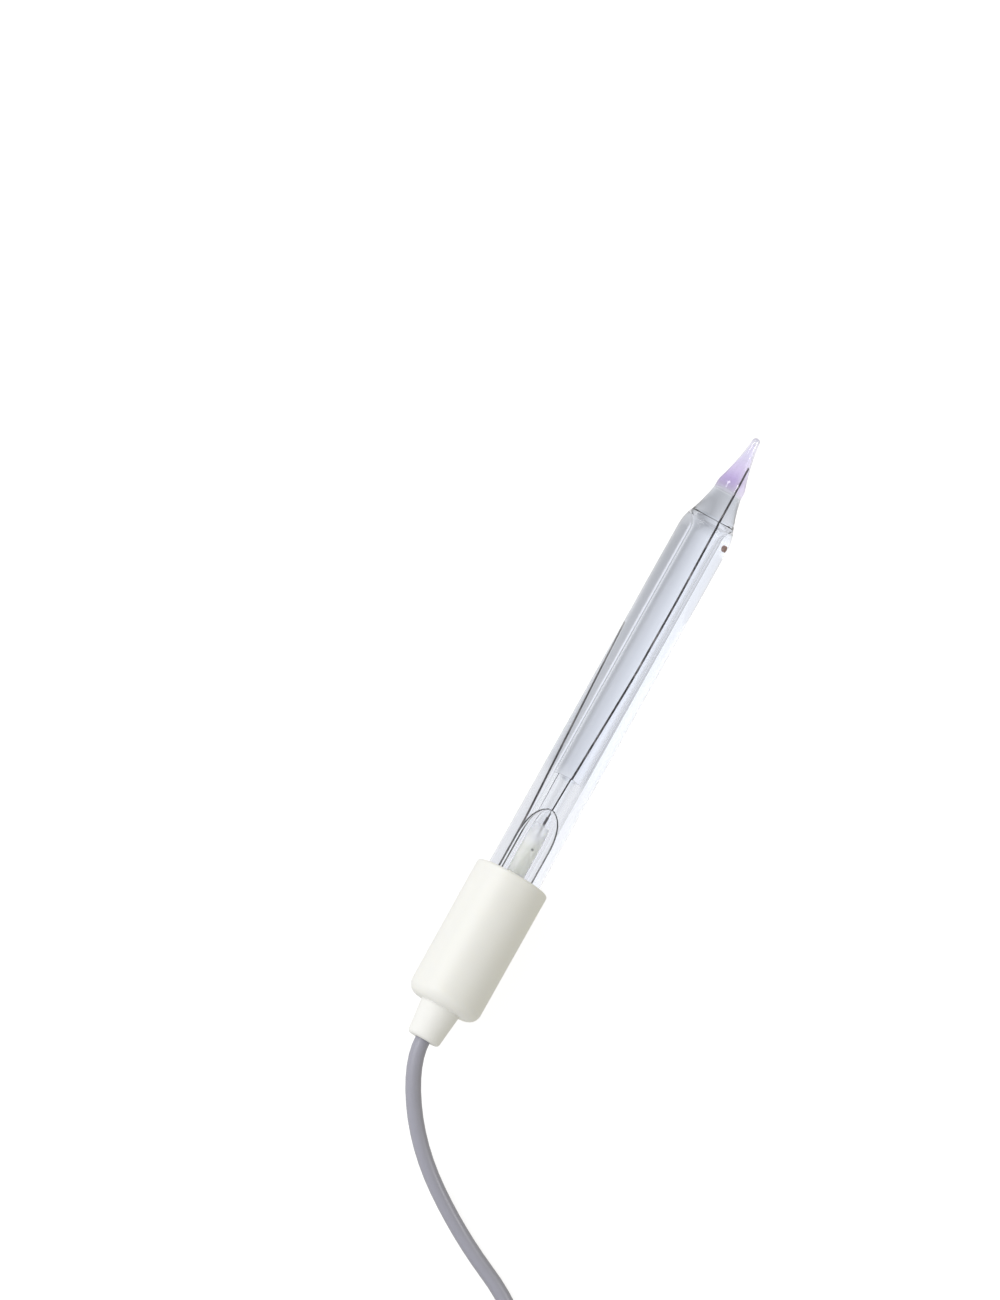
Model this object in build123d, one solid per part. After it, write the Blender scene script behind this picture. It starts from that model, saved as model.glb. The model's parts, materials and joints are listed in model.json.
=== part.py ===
from build123d import *
import os
from math import acos, atan2, cos, degrees, hypot, pi, radians, sin, tan

# A glass combination pH electrode with its fixed cable and bayonet plug, in millimetres.
# The electrode is drawn upright on its own axis, tip up, with z = 0 at the mouth of the cap and the
# side that faces up at rest on -Y. It is then laid along +Y on the floor, where it rests on the rim
# of the cap and on the shoulder of the glass, and the cable goes on along the floor to its coil.

# Glass shaft, from the cap to the seal that joins it to the inner stem, and its clear cone
shaft_diameter = 12.0
shaft_wall = 1.0
exposed_length = 108.4
shaft_in_cap = 18.0
shoulder_length = 4.2
shoulder_drop = 0.8
cone_length = 7.1
cone_wall = 0.9

# Inner stem with its flared end
stem_diameter = 6.1
stem_wall = 0.85
stem_past_shaft = 2.0
flare_length = 2.4
seal_land = 1.2

# Glass membrane, a slim cone with a solid bead at its tip
membrane_length = 13.8
membrane_diameter = 6.4
membrane_skin = 0.5
band_length = 1.25
roll_length = 1.25
roll_depth = 0.2
bead_radius = 0.87
bead_solid = 1.7
bead_hollow_radius = 0.42
flank_angle = 5.5

# Porous junction pin in the shaft's wall
junction_diameter = 1.4
junction_below_seal = 4.5
junction_inside = 0.3
junction_angle = 70.0

# Silver wires
inner_wire_diameter = 0.35
inner_wire_offset = 1.12
inner_wire_tip_offset = 0.95
inner_wire_short_of_tip = 6.8
inner_wire_lean_height = 62.0
weld_diameter = 0.6
weld_length = 1.9
weld_edge = 0.15
reference_wire_diameter = 0.4
reference_wire_height = 61.4
reference_wire_bend_height = 12.0
reference_wire_low_angle = 209.0
reference_wire_high_angle = 184.0
reference_wire_gap = 0.06
reference_wire_wall_gap = 0.25
wire_bend_radius = 300.0

# Fillings and plugs, as heights above the mouth of the cap
buffer_height = 24.6
buffer_dish = 0.7
plug_height = 13.3
annulus_seal_length = 5.0
bubble_height = 16.8
bubble_round_length = 7.8
bubble_floor = 2.9

# Cap and strain relief
cap_length = 31.0
cap_wall = 2.2
cap_draft = 0.15
cap_mouth_edge = 0.7
cap_foot_edge = 2.6
cap_chamber_wall = 3.05
cap_end_wall = 3.6
fit = 0.05
nose_length = 7.5
nose_root_diameter = 8.8
nose_end_diameter = 7.2
nose_edge = 0.8
shank_diameter = 5.8
flange_diameter = 9.2
flange_thickness = 1.2

# Cable and the leads at its end in the cap
cable_diameter = 3.3
jacket_past_flange = 0.9
core_diameter = 1.7
core_length = 2.1
core_joint_diameter = 1.4
wire_past_stem = 1.0
wire_in_joint = 0.6
shield_tail_diameter = 0.7
shield_tail_gap = 0.2
shield_tail_overrun = 0.23
shield_joint_diameter = 1.1
shield_joint_length = 2.9
shield_joint_below_stem = 0.1
shield_wire_in_joint = 1.4

# Route of the cable on the floor, and its coil
cable_straight_out = 10.2
floor_points = [
    (14.0, -101.5, 2.6),
    (33.5, -111.5, 1.65),
    (51.0, -122.5, 1.65),
    (57.0, -140.0, 1.9),
    (54.5, -154.3, 2.25),
]
arc_share = 0.45
coil_x = 31.0
coil_y = -151.0
coil_outer_radius = 23.7
coil_inner_radius = 13.1
coil_layer_rise = 3.35
coil_slack = 0.1
coil_edge = 0.9
tie_thickness = 0.6
tie_width = 6.0
tail_points = [(51.5, -143.5, 5.3), (55.4, -159.0, 5.4), (54.6, -170.0, 6.4), (45.5, -185.0, 7.2)]

# Bayonet plug, which lies beside the coil along -X, with lengths from its cable end
plug_x = 37.5
plug_y = -185.0
jacket_in_plug = 14.0
boot_length = 17.0
boot_rear_diameter = 5.0
boot_front_diameter = 8.0
boot_edge = 0.5
ferrule_start = 9.0
ferrule_length = 12.0
ferrule_diameter = 5.4
ferrule_wall = 0.95
tail_tube_wall = 0.75
plug_flange_diameter = 9.2
plug_flange_length = 4.0
barrel_diameter = 9.5
barrel_length = 8.0
contact_diameter = 8.1
contact_wall = 0.55
contact_length = 11.0
contact_slot = 0.4
contact_slot_length = 6.0
insulator_length = 8.0
pin_diameter = 1.36
pin_length = 12.0
pin_nose = 0.5
pin_cup_diameter = 1.6
pin_cup_length = 6.0
nut_diameter = 14.4
nut_front_diameter = 12.8
nut_grip_length = 10.5
nut_front_length = 8.5
nut_start_past_flange = 0.6
nut_bore_gap = 0.05
nut_front_bore = 9.8
nut_edge = 0.6
groove_count = 20
groove_radius = 0.55
groove_depth = 0.35
slot_width = 2.3
slot_entry = 3.0
slot_turn = 80.0
slot_rise = 2.6
ring_groove_depth = 0.35
ring_height = 0.75
ring_width = 0.7
ring_gap = 0.06
ring_place = 4.0
gasket_thickness = 0.8

# Sizes worked out from these
shaft_r = shaft_diameter / 2
bore_r = shaft_r - shaft_wall
seal_r = shaft_r - shoulder_drop
seal_bore_r = seal_r - cone_wall
stem_r = stem_diameter / 2
stem_bore_r = stem_r - stem_wall
membrane_r = membrane_diameter / 2
membrane_bore_r = membrane_r - membrane_skin
cable_r = cable_diameter / 2
tip_z = exposed_length
membrane_z = tip_z - membrane_length
seal_z = membrane_z - cone_length
shoulder_z = seal_z - shoulder_length
flare_z = seal_z - flare_length
shaft_end_z = -shaft_in_cap
stem_end_z = shaft_end_z - stem_past_shaft
cap_mouth_r = shaft_r + fit + cap_wall
cap_foot_r = cap_mouth_r - cap_draft
cap_foot_z = -cap_length
cap_inside_z = cap_foot_z + cap_end_wall
nose_end_z = cap_foot_z - nose_length
jacket_end_z = cap_inside_z + flange_thickness + jacket_past_flange


def turned(edges):
    """The solid that a closed outline of radius and height sweeps about the electrode's axis."""
    return revolve(Plane.XZ * make_face(edges), Axis.Z)


def rod(radius, low, high, x=0.0, y=0.0):
    """A round bar parallel to the axis between two heights."""
    return Pos(x, y, low) * Cylinder(radius, high - low, align=(Align.CENTER, Align.CENTER, Align.MIN))


def ring(outer, inner, low, high):
    """A plain sleeve about the axis between two heights."""
    return rod(outer, low, high) - rod(inner, low, high)


def swept(points, radius, radii):
    """A round bar along straight runs that tangent arcs of these radii join."""
    path = FilletPolyline(*points, radius=radii)
    section = Plane(origin=path @ 0, z_dir=path % 0) * Circle(radius)
    return sweep(section, path=path), path


def corner_radii(points):
    """At each inner point, a set share of the shorter run divided by the tangent of half the turn."""
    radii = []
    for before, here, after in zip(points, points[1:], points[2:]):
        run_in = here - before
        run_out = after - here
        half_turn = radians(run_in.get_angle(run_out)) / 2
        radii.append(arc_share * min(run_in.length, run_out.length) / tan(half_turn))
    return radii


def cord_tube(name, points):
    """A stretch of cable, with its arc radii and its volume against section times length printed."""
    radii = corner_radii(points)
    tube, path = swept(points, cable_r, radii)
    print(name, "radii", [round(r, 1) for r in radii], "length", round(path.length, 1))
    print(name, "volume over section times length", round(tube.volume / (pi * cable_r**2 * path.length), 4))
    return tube


def bulb_edges(end_radius, end_z, skin):
    """Half outline of the membrane from the axis at its tip to its base, with its walls set in by skin."""
    flank_r = membrane_r - roll_depth - skin
    flank_z = membrane_z + band_length + roll_length
    lean = radians(flank_angle)
    bead_z = end_z - end_radius
    bead_edge = (end_radius * cos(lean), bead_z + end_radius * sin(lean))
    half_way = (pi / 2 - lean) / 2
    bead_mid = (end_radius * sin(half_way), bead_z + end_radius * cos(half_way))
    bead = ThreePointArc((0, end_z), bead_mid, bead_edge)
    flank = TangentArc(bead_edge, (flank_r, flank_z), tangent=(sin(lean), -cos(lean)))
    roll = TangentArc((flank_r, flank_z), (membrane_r - skin, membrane_z + band_length), tangent=flank % 1)
    band = Line((membrane_r - skin, membrane_z + band_length), (membrane_r - skin, membrane_z))
    return [bead, flank, roll, band]


# Outline edges that neighbouring glass pieces and fillings share
shoulder = TangentArc((shaft_r, shoulder_z), (seal_r, seal_z), tangent=(0, 1))
cone = TangentArc((seal_r, seal_z), (membrane_r, membrane_z), tangent=shoulder % 1)
cone_inside = TangentArc((seal_bore_r, seal_z), (membrane_bore_r, membrane_z), tangent=shoulder % 1)
shoulder_inside = TangentArc((bore_r, shoulder_z), (seal_bore_r, seal_z - seal_land), tangent=(0, 1))
flare_outside = TangentArc((stem_r, flare_z), (seal_bore_r, seal_z - seal_land), tangent=(0, 1))
flare_inside = TangentArc((stem_bore_r, flare_z), (seal_bore_r, seal_z), tangent=(0, 1))
bulb_outside = bulb_edges(bead_radius, tip_z, 0)
bulb_inside = bulb_edges(bead_hollow_radius, tip_z - bead_solid, membrane_skin)
land = Line((seal_bore_r, seal_z - seal_land), (seal_bore_r, seal_z))
membrane_seat = Line((membrane_r, membrane_z), (membrane_bore_r, membrane_z))

# Glass pieces
shaft_tube = turned(
    [
        Line((shaft_r, shaft_end_z), (shaft_r, shoulder_z)),
        shoulder,
        cone,
        membrane_seat,
        cone_inside,
        land,
        shoulder_inside,
        Line((bore_r, shoulder_z), (bore_r, shaft_end_z)),
        Line((bore_r, shaft_end_z), (shaft_r, shaft_end_z)),
    ]
)
inner_stem = turned(
    [
        Line((stem_r, stem_end_z), (stem_r, flare_z)),
        flare_outside,
        land,
        flare_inside,
        Line((stem_bore_r, flare_z), (stem_bore_r, stem_end_z)),
        Line((stem_bore_r, stem_end_z), (stem_r, stem_end_z)),
    ]
)
bead_core = Line((0, tip_z - bead_solid), (0, tip_z))
glass_membrane = turned(bulb_outside + bulb_inside + [membrane_seat, bead_core])

# Porous pin, flush with the outside of the glass
glass_outside = turned(
    [
        Line((shaft_r, shaft_end_z), (shaft_r, shoulder_z)),
        shoulder,
        Line((seal_r, seal_z), (0, seal_z)),
        Line((0, seal_z), (0, shaft_end_z)),
        Line((0, shaft_end_z), (shaft_r, shaft_end_z)),
    ]
)
junction_way = Plane(
    origin=(0, 0, seal_z - junction_below_seal),
    z_dir=(sin(radians(junction_angle)), -cos(radians(junction_angle)), 0),
)
junction_reach = shaft_r - bore_r + junction_inside
junction_blank = Pos(0, 0, bore_r - junction_inside) * Cylinder(
    junction_diameter / 2, 2 * junction_reach, align=(Align.CENTER, Align.CENTER, Align.MIN)
)
junction_pin = (junction_way * junction_blank) & glass_outside
shaft_tube = shaft_tube - junction_pin

# Inner wire, with the weld that joins it to its lead where it enters the plug
inner_wire_path = [
    Vector(0, 0, stem_end_z - wire_past_stem),
    Vector(0, 0, plug_height),
    Vector(inner_wire_offset, 0, inner_wire_lean_height),
    Vector(inner_wire_tip_offset, 0, tip_z - inner_wire_short_of_tip),
]
inner_wire, _ = swept(inner_wire_path, inner_wire_diameter / 2, [wire_bend_radius, wire_bend_radius])
weld = rod(weld_diameter / 2, plug_height, plug_height + weld_length)
inner_wire = inner_wire + fillet(weld.edges(), weld_edge)

# Reference wire, beside the stem in the cap and against the shaft's wall at its free end
reference_wire_r = reference_wire_diameter / 2
low_radius = stem_r + reference_wire_gap + reference_wire_r
high_radius = bore_r - reference_wire_wall_gap - reference_wire_r
low_x = low_radius * cos(radians(reference_wire_low_angle))
low_y = low_radius * sin(radians(reference_wire_low_angle))
high_x = high_radius * cos(radians(reference_wire_high_angle))
high_y = high_radius * sin(radians(reference_wire_high_angle))
shield_joint_top = stem_end_z - shield_joint_below_stem
reference_wire_path = [
    Vector(low_x, low_y, shield_joint_top - shield_wire_in_joint),
    Vector(low_x, low_y, reference_wire_bend_height),
    Vector(high_x, high_y, reference_wire_height),
]
reference_wire, _ = swept(reference_wire_path, reference_wire_r, [wire_bend_radius])

# Plug in the stem, ring seal in the space round it, and the two fillings
stem_plug = rod(stem_bore_r, stem_end_z, plug_height) - inner_wire
seal_top_z = shaft_end_z + annulus_seal_length
annulus_seal = ring(bore_r, stem_r, shaft_end_z, seal_top_z) - reference_wire
inner_buffer = turned(
    [
        TangentArc((0, buffer_height + buffer_dish), (stem_bore_r, buffer_height), tangent=(1, 0)),
        Line((stem_bore_r, buffer_height), (stem_bore_r, flare_z)),
        flare_inside,
        cone_inside,
        *bulb_inside,
        Line((0, tip_z - bead_solid), (0, buffer_height + buffer_dish)),
    ]
)
inner_buffer = inner_buffer - inner_wire
reference_electrolyte = turned(
    [
        Line((stem_r, seal_top_z), (stem_r, flare_z)),
        flare_outside,
        shoulder_inside,
        Line((bore_r, shoulder_z), (bore_r, seal_top_z)),
        Line((bore_r, seal_top_z), (stem_r, seal_top_z)),
    ]
)
bubble_half = (bore_r**2 - bubble_floor**2) ** 0.5
bubble_round_z = bubble_height - bubble_round_length
bubble_drop = bubble_round_z - seal_top_z
bubble_outline = Pos(0, bubble_round_z) * Ellipse(bubble_half, bubble_round_length)
bubble_outline += Pos(0, bubble_round_z - bubble_drop / 2) * Rectangle(2 * bubble_half, bubble_drop)
bubble = extrude(Plane.XZ.offset(bubble_floor) * bubble_outline, bore_r)
reference_electrolyte = reference_electrolyte - bubble - reference_wire - junction_pin

# Moulded cap, bored for the glass, with a chamber for the leads behind it
chamber_r = cap_mouth_r - cap_chamber_wall
hole_r = shank_diameter / 2 + fit
cap_outline = make_face(
    Polyline(
        (shaft_r + fit, 0),
        (cap_mouth_r, 0),
        (cap_foot_r, cap_foot_z),
        (hole_r, cap_foot_z),
        (hole_r, cap_inside_z),
        (chamber_r, cap_inside_z),
        (chamber_r, shaft_end_z),
        (shaft_r + fit, shaft_end_z),
        close=True,
    )
)
cap_outline = fillet(cap_outline.vertices().sort_by_distance((cap_mouth_r, 0))[0], cap_mouth_edge)
cap_outline = fillet(cap_outline.vertices().sort_by_distance((cap_foot_r, cap_foot_z))[0], cap_foot_edge)
cap = revolve(Plane.XZ * cap_outline, Axis.Z)

# Strain relief, a rubber bush pulled through the cap's end and held by its flange
nose_root_r = nose_root_diameter / 2
nose_end_r = nose_end_diameter / 2
shank_r = shank_diameter / 2
flange_r = flange_diameter / 2
flange_z = cap_inside_z + flange_thickness
relief_outline = make_face(
    Polyline(
        (cable_r + fit, nose_end_z),
        (nose_end_r, nose_end_z),
        (nose_root_r, cap_foot_z),
        (shank_r, cap_foot_z),
        (shank_r, cap_inside_z),
        (flange_r, cap_inside_z),
        (flange_r, flange_z),
        (cable_r + fit, flange_z),
        close=True,
    )
)
relief_outline = fillet(relief_outline.vertices().sort_by_distance((nose_end_r, nose_end_z))[0], nose_edge)
strain_relief = revolve(Plane.XZ * relief_outline, Axis.Z)

# Leads in the cap: the cable's core to the inner wire, its twisted shield to the reference wire
core_top_z = jacket_end_z + core_length
wire_end_z = stem_end_z - wire_past_stem
cable_core = rod(core_diameter / 2, jacket_end_z, core_top_z)
core_joint = rod(core_joint_diameter / 2, core_top_z, wire_end_z + wire_in_joint) - inner_wire
shield_joint_z = shield_joint_top - shield_joint_length
shield_joint = rod(shield_joint_diameter / 2, shield_joint_z, shield_joint_top, low_x, low_y) - reference_wire
shield_start_radius = (core_diameter + shield_tail_diameter) / 2 + shield_tail_gap
shield_start = Vector(
    shield_start_radius * cos(radians(reference_wire_low_angle)),
    shield_start_radius * sin(radians(reference_wire_low_angle)),
    jacket_end_z,
)
shield_end = Vector(low_x, low_y, shield_joint_z)
shield_lean = (shield_end - shield_start).normalized() * shield_tail_overrun
shield_path = Line(shield_start - shield_lean, shield_end + shield_lean)
shield_section = Plane(origin=shield_path @ 0, z_dir=shield_path % 0) * Circle(shield_tail_diameter / 2)
jacket_end = rod(cable_r, jacket_end_z - shield_tail_diameter, jacket_end_z)
shield_tail = sweep(shield_section, path=shield_path) - shield_joint - reference_wire - jacket_end

# How the electrode lies: one floor line touches the rim of the cap and the shoulder of the glass
shoulder_radius = (shoulder_length**2 + shoulder_drop**2) / (2 * shoulder_drop)
rim_past_shoulder = (cap_mouth_r - cap_mouth_edge) - (shaft_r - shoulder_radius)
rim_below_shoulder = shoulder_z + cap_mouth_edge
rest_tilt = acos((shoulder_radius - cap_mouth_edge) / hypot(rim_past_shoulder, rim_below_shoulder)) - atan2(
    rim_below_shoulder, rim_past_shoulder
)
electrode_way = (0, cos(rest_tilt), -sin(rest_tilt))
tilted = Plane(origin=(0, 0, 0), x_dir=(1, 0, 0), z_dir=electrode_way)
boxes = [(tilted * piece).bounding_box() for piece in (cap, strain_relief, shaft_tube, glass_membrane)]
middle_y = (min(box.min.Y for box in boxes) + max(box.max.Y for box in boxes)) / 2
lowest_z = min(box.min.Z for box in boxes)
lying = Plane(origin=(0, -middle_y, -lowest_z), x_dir=(1, 0, 0), z_dir=electrode_way)
print("rest tilt", round(degrees(rest_tilt), 3), "axis through", lying.origin)

# Coil of the unseen cable, a closed ring that holds all its turns, and the strap that ties it
coil_low = tie_thickness
coil_high = coil_low + cable_diameter + coil_layer_rise + coil_slack
bundle_outer = coil_outer_radius + cable_r + coil_slack
bundle_inner = coil_inner_radius - cable_r - coil_slack
cable_coil = ring(bundle_outer, bundle_inner, coil_low, coil_high)
cable_coil = Pos(coil_x, coil_y) * chamfer(cable_coil.edges().filter_by(GeomType.CIRCLE), coil_edge)
bundle_width = bundle_outer - bundle_inner
tie_blank = Pos(coil_x - (bundle_outer + bundle_inner) / 2, coil_y, 0) * Box(
    bundle_width + 2 * tie_thickness,
    tie_width,
    coil_high + tie_thickness,
    align=(Align.CENTER, Align.CENTER, Align.MIN),
)
coil_tie = fillet(tie_blank.edges().filter_by(Axis.Y), coil_edge + tie_thickness / 2) - cable_coil

# Free cable from the cap to the coil, and from the coil to the plug
cable_points = [
    lying.from_local_coords((0, 0, jacket_end_z)),
    lying.from_local_coords((0, 0, nose_end_z - cable_straight_out)),
    *[Vector(*point) for point in floor_points],
]
cable = cord_tube("cable", cable_points) - cable_coil
plug_z = nut_diameter / 2
cable_tail_points = [
    *[Vector(*point) for point in tail_points],
    Vector(plug_x - jacket_in_plug, plug_y, plug_z),
]
cable_tail = cord_tube("cable_tail", cable_tail_points) - cable_coil

# Bayonet plug, drawn on its own axis from its cable end
ferrule_end = ferrule_start + ferrule_length
flange_end = ferrule_end + plug_flange_length
barrel_end = flange_end + barrel_length
contact_end = barrel_end + contact_length
ferrule_r = ferrule_diameter / 2
ferrule_bore_r = ferrule_r - ferrule_wall
barrel_r = barrel_diameter / 2
contact_r = contact_diameter / 2
contact_bore_r = contact_r - contact_wall
pin_r = pin_diameter / 2
boot_outline = make_face(
    Polyline(
        (cable_r + fit, 0),
        (boot_rear_diameter / 2, 0),
        (boot_front_diameter / 2, boot_length),
        (ferrule_r + fit, boot_length),
        (ferrule_r + fit, ferrule_start),
        (cable_r + fit, ferrule_start),
        close=True,
    )
)
boot_corners = [(boot_rear_diameter / 2, 0), (boot_front_diameter / 2, boot_length)]
for corner in boot_corners:
    boot_outline = fillet(boot_outline.vertices().sort_by_distance(corner)[0], boot_edge)
plug_boot = revolve(Plane.XZ * boot_outline, Axis.Z)
crimp_ferrule = ring(ferrule_r, ferrule_bore_r, ferrule_start, ferrule_end)

# Plug body: the tail under the ferrule, a flange, the barrel that the nut turns on, the slotted contact
tail_tube_r = ferrule_bore_r - fit
tail_bore_r = tail_tube_r - tail_tube_wall
ring_low = flange_end + ring_place
ring_room_r = barrel_r - ring_groove_depth
plug_body = rod(tail_tube_r, jacket_in_plug, ferrule_end)
plug_body += rod(plug_flange_diameter / 2, ferrule_end, flange_end)
plug_body += rod(barrel_r, flange_end, barrel_end)
plug_body += rod(contact_r, barrel_end, contact_end)
pin_seat = contact_end - insulator_length - contact_slot_length
plug_body -= rod(tail_bore_r, jacket_in_plug, pin_seat)
plug_body -= rod(contact_bore_r, pin_seat, contact_end)
plug_body -= ring(barrel_r + fit, ring_room_r, ring_low - ring_gap, ring_low + ring_width + ring_gap)
for angle in (0, 90):
    plug_body -= Rot(0, 0, angle) * Pos(0, 0, contact_end - contact_slot_length) * Box(
        contact_diameter, contact_slot, contact_slot_length, align=(Align.CENTER, Align.CENTER, Align.MIN)
    )
cup_r = pin_cup_diameter / 2
cup_end = pin_seat + pin_cup_length
pin_end = cup_end + pin_length - pin_cup_length
plug_core = rod(tail_bore_r - fit, jacket_in_plug, pin_seat)
centre_pin = rod(cup_r, pin_seat, cup_end)
centre_pin += rod(pin_r, cup_end, pin_end)
centre_pin = fillet(centre_pin.edges().sort_by(Axis.Z)[-1], pin_nose)
plug_insulator = rod(contact_bore_r - fit, pin_seat, pin_seat + insulator_length) - centre_pin
retaining_ring = ring(ring_room_r + ring_height, ring_room_r, ring_low, ring_low + ring_width)
plug_gasket = ring(nut_front_bore / 2 - nut_bore_gap, contact_r, barrel_end, barrel_end + gasket_thickness)

# Coupling nut with a fluted grip and two bayonet slots, free to turn on the barrel
nut_r = nut_diameter / 2
nut_front_r = nut_front_diameter / 2
nut_start = ferrule_end + nut_start_past_flange + plug_flange_length
nut_grip_end = nut_start + nut_grip_length
nut_end = nut_grip_end + nut_front_length
grip = fillet(rod(nut_r, nut_start, nut_grip_end).edges(), nut_edge)
for place in PolarLocations(nut_r + groove_radius - groove_depth, groove_count, 180 / groove_count):
    grip -= place * rod(groove_radius, nut_start, nut_grip_end)
coupling_nut = grip + rod(nut_front_r, nut_grip_end - nut_edge, nut_end)
coupling_nut -= rod(barrel_r + nut_bore_gap, nut_start, barrel_end)
coupling_nut -= rod(nut_front_bore / 2, barrel_end - nut_bore_gap, nut_end)
coupling_nut -= ring(
    ring_room_r + ring_height + ring_gap, barrel_r, ring_low - ring_gap, ring_low + ring_width + ring_gap
)
slot_r = (nut_front_bore / 2 + nut_front_r) / 2
slot_depth = nut_front_diameter - nut_front_bore
slot_path = Helix(pitch=slot_rise * 360 / slot_turn, height=slot_rise, radius=slot_r)
slot_start = Plane(origin=slot_path @ 0, x_dir=(1, 0, 0), z_dir=slot_path % 0)
slot_run = sweep(slot_start * Rectangle(slot_depth, slot_width), path=slot_path, is_frenet=True)
slot_end = Plane(origin=(slot_r, 0, 0), z_dir=(1, 0, 0)) * Cylinder(slot_width / 2, slot_depth)
slot_mouth = Pos(slot_r, 0, slot_rise) * Box(
    slot_depth, slot_width, 2 * slot_entry, align=(Align.CENTER, Align.CENTER, Align.MIN)
)
for angle in (0, 180):
    way = Rot(0, 0, angle) * Pos(0, 0, nut_end - slot_entry - slot_rise)
    coupling_nut -= way * slot_run
    coupling_nut -= way * (Rot(0, 0, slot_turn) * slot_mouth)
    coupling_nut -= way * slot_end

# Every piece in its place
upright = {
    "shaft_tube": shaft_tube,
    "inner_stem": inner_stem,
    "glass_membrane": glass_membrane,
    "junction_pin": junction_pin,
    "inner_wire": inner_wire,
    "reference_wire": reference_wire,
    "stem_plug": stem_plug,
    "annulus_seal": annulus_seal,
    "inner_buffer": inner_buffer,
    "reference_electrolyte": reference_electrolyte,
    "cap": cap,
    "strain_relief": strain_relief,
    "cable_core": cable_core,
    "core_joint": core_joint,
    "shield_tail": shield_tail,
    "shield_joint": shield_joint,
}
on_plug = {
    "plug_boot": plug_boot,
    "crimp_ferrule": crimp_ferrule,
    "plug_body": plug_body,
    "plug_core": plug_core,
    "centre_pin": centre_pin,
    "plug_insulator": plug_insulator,
    "retaining_ring": retaining_ring,
    "plug_gasket": plug_gasket,
    "coupling_nut": coupling_nut,
}
on_floor = {
    "cable": cable,
    "cable_coil": cable_coil,
    "coil_tie": coil_tie,
    "cable_tail": cable_tail,
}
plug_place = Plane(origin=(plug_x, plug_y, plug_z), x_dir=(0, 1, 0), z_dir=(-1, 0, 0))
placed = {name: lying * piece for name, piece in upright.items()}
placed |= {name: plug_place * piece for name, piece in on_plug.items()}
placed |= on_floor

os.makedirs("parts", exist_ok=True)
for name, piece in placed.items():
    export_step(piece, f"parts/{name}.step")
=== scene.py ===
import json
import bmesh
import bpy
import numpy as np
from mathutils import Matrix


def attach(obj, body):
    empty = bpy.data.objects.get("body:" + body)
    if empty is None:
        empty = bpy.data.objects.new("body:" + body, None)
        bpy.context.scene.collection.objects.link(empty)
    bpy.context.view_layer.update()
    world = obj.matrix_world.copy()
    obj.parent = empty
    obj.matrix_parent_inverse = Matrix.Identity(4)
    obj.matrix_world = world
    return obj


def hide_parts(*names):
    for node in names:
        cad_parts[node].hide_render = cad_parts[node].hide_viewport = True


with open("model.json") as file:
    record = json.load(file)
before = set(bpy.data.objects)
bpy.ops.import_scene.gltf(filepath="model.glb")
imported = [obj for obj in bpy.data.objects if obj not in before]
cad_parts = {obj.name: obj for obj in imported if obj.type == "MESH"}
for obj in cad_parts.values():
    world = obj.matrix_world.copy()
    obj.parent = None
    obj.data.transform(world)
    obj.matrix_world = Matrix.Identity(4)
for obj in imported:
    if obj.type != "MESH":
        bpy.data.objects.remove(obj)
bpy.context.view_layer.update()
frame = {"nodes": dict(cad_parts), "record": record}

# Glass body: a 12 mm outer tube and a slim inner stem, both of clear laboratory glass worked on a lathe.
# The stem's flared end is fused to the tube under its shoulder, and a short clear cone runs on from that
# seal to carry the membrane. Sizes are in millimetres on the electrode's own axis, from the cap's mouth.
millimetre = 0.001
round_steps = 192
same_point, sharp_angle = 1e-7, np.radians(32)
rest_face = next(mount for mount in frame["record"]["mounts"] if mount["name"] == "cap_rest")
mouth = np.array([0.0, *rest_face["pos_m"][1:]])
tipward = np.array(rest_face["axis"])
across = np.array([1.0, 0.0, 0.0])
downward = np.cross(tipward, across)


def lay(points):
    """Lays points of the upright electrode on the floor, in metres: from the cap's mouth, x runs across it, y
    down and z towards the tip."""
    x, y, z = points[..., :1], points[..., 1:2], points[..., 2:]
    return mouth + millimetre * (x * across + y * downward + z * tipward)


def skin(name, grid, laid, closed):
    """A mesh over a grid of points in millimetres: a point, its neighbours in the next row and column and the
    one between them make a face. Columns run round, and so do the rows of a closed grid. Poles are merged."""
    rows, columns = grid.shape[:2]
    number = np.arange(rows * columns).reshape(rows, columns)
    here = number if closed else number[:-1]
    after = np.roll(number, -1, 0) if closed else number[1:]
    faces = np.stack([here, np.roll(here, -1, 1), np.roll(after, -1, 1), after], -1).reshape(-1, 4)
    mesh = bpy.data.meshes.new(name)
    mesh.from_pydata(laid(grid).reshape(-1, 3).tolist(), [], faces.tolist())
    mesh.attributes.new("place", "FLOAT_VECTOR", "POINT").data.foreach_set("vector", grid.ravel())
    shape = bmesh.new()
    shape.from_mesh(mesh)
    bmesh.ops.remove_doubles(shape, verts=shape.verts, dist=same_point)
    bmesh.ops.recalc_face_normals(shape, faces=shape.faces)
    shape.to_mesh(mesh)
    shape.free()
    mesh.shade_smooth()
    mesh.set_sharp_from_angle(angle=sharp_angle)
    made = bpy.data.objects.new(name, mesh)
    bpy.context.scene.collection.objects.link(made)
    return made


def lathe(name, outline, laid=lay, columns=round_steps, closed=True):
    """The surface that an outline of radius r and height h sweeps about its axis: x = r cos a, y = r sin a
    and z = h, for angles a all the way round."""
    radius, height = np.asarray(outline, float).T[:, :, None]
    angle = np.linspace(0, 2 * np.pi, columns, endpoint=False)
    grid = np.stack(np.broadcast_arrays(radius * np.cos(angle), radius * np.sin(angle), height), -1)
    return skin(name, grid, laid, closed)


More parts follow.
